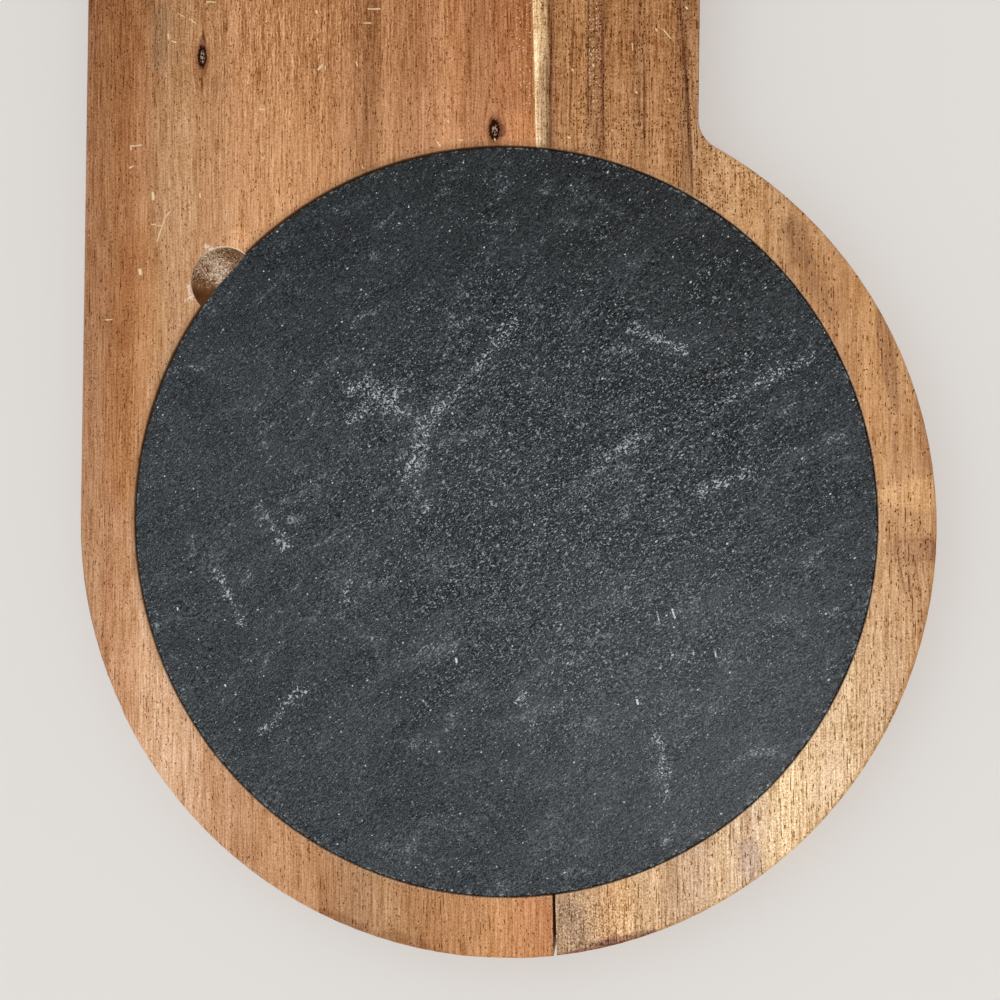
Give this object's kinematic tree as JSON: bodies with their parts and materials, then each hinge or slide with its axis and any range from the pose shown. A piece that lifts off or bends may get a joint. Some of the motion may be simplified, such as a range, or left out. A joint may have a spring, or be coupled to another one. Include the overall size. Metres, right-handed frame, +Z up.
{
  "type": "slate serving board",
  "caption": "Wooden serving board with a straight end and a round end, a loose round slate let into the round end, and a finger scoop to lift it out.",
  "frame": {"origin": "centre of the round end, on the underside that the board rests on", "axes": "+Y along the board towards the straight end, +Z up out of the serving face, +X to the right seen from above"},
  "size_m": [0.2936, 0.4298, 0.015],
  "materials": {
    "left_wood": "oiled, satin, reddish with fine dark pores",
    "right_wood": "oiled, satin, brown to golden with dark pores and a pale sapwood strip",
    "glue": "cured wood glue, dark with dust",
    "slate": "riven, matt, dark blue-grey with pale scuffs"
  },
  "bodies": {
    "board": {"left_plank": "left_wood", "right_plank": "right_wood", "glue_line": "glue"},
    "slate": {"slate_disc": "slate"}
  },
  "joints": [
    {"name": "slate_lift", "type": "slide", "parent": "board", "child": "slate", "axis": [0, 0, 1], "range_m": [0, 0.04]}
  ]
}
